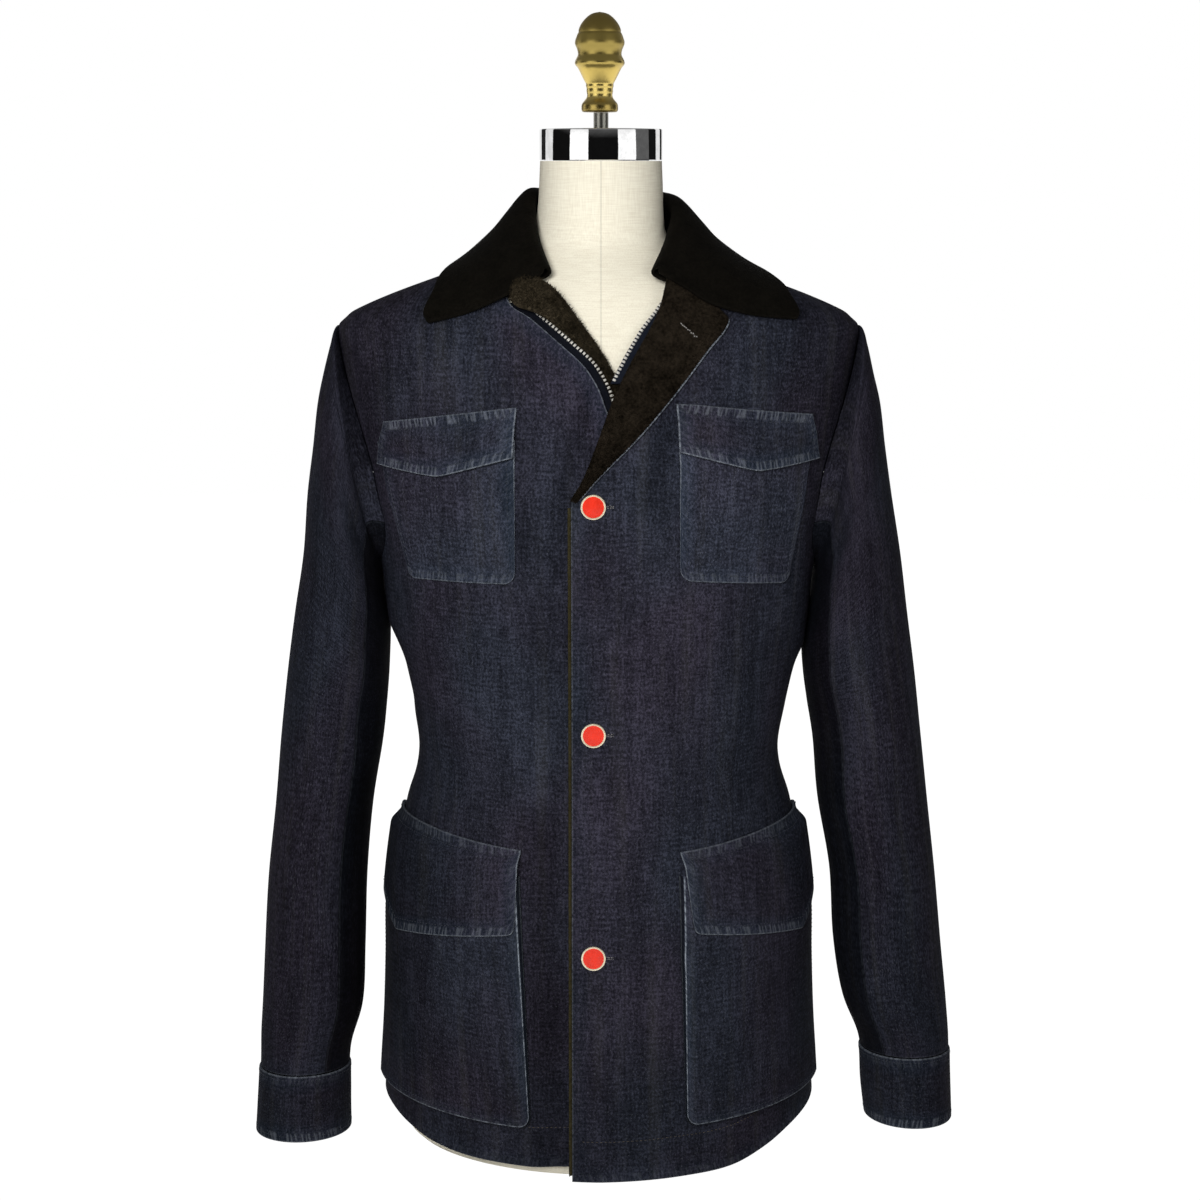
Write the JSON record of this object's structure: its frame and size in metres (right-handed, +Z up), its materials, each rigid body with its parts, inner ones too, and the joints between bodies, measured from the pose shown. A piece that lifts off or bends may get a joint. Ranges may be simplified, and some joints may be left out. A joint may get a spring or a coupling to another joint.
{
  "type": "denim overcoat on a limbless dress form",
  "caption": "Hip-length denim coat with a velvety collar, patch and bellows pockets and sheared facings, worn open at the neck by a limbless dress form with a turned finial.",
  "frame": {"origin": "middle of the dress form's flat underside, on the floor", "axes": "+Z up the dress form to its finial, -Y out of the coat's front, +X to the wearer's left"},
  "size_m": [0.5888, 0.2973, 0.9358],
  "materials": {
    "denim": "matte",
    "pile": "matte",
    "shearling": "matte",
    "tape": "matte",
    "enamel": "gloss",
    "linen": "matte",
    "chrome": "polished",
    "brass": "polished",
    "steel": "satin"
  },
  "bodies": {
    "root": {"back": "denim", "front_left": "denim", "front_right": "denim", "top_sleeve_left": "denim", "top_sleeve_right": "denim", "under_sleeve_left": "denim", "under_sleeve_right": "denim", "cuff_left": "denim", "cuff_right": "denim", "chest_pocket_left": "denim", "chest_pocket_right": "denim", "chest_flap_left": "denim", "chest_flap_right": "denim", "hip_pocket_left": "denim", "hip_pocket_right": "denim", "hip_flap_left": "denim", "hip_flap_right": "denim", "collar": "pile", "lapel_facing_left": "shearling", "neck_facing_right": "shearling", "edge_facing_left": "shearling", "zip_tape_left": "tape", "zip_tape_right": "tape", "button_1": "enamel", "button_2": "enamel", "button_3": "enamel", "form_torso": "linen", "neck_cap": "chrome", "rod": "steel", "finial": "brass"}
  },
  "joints": []
}
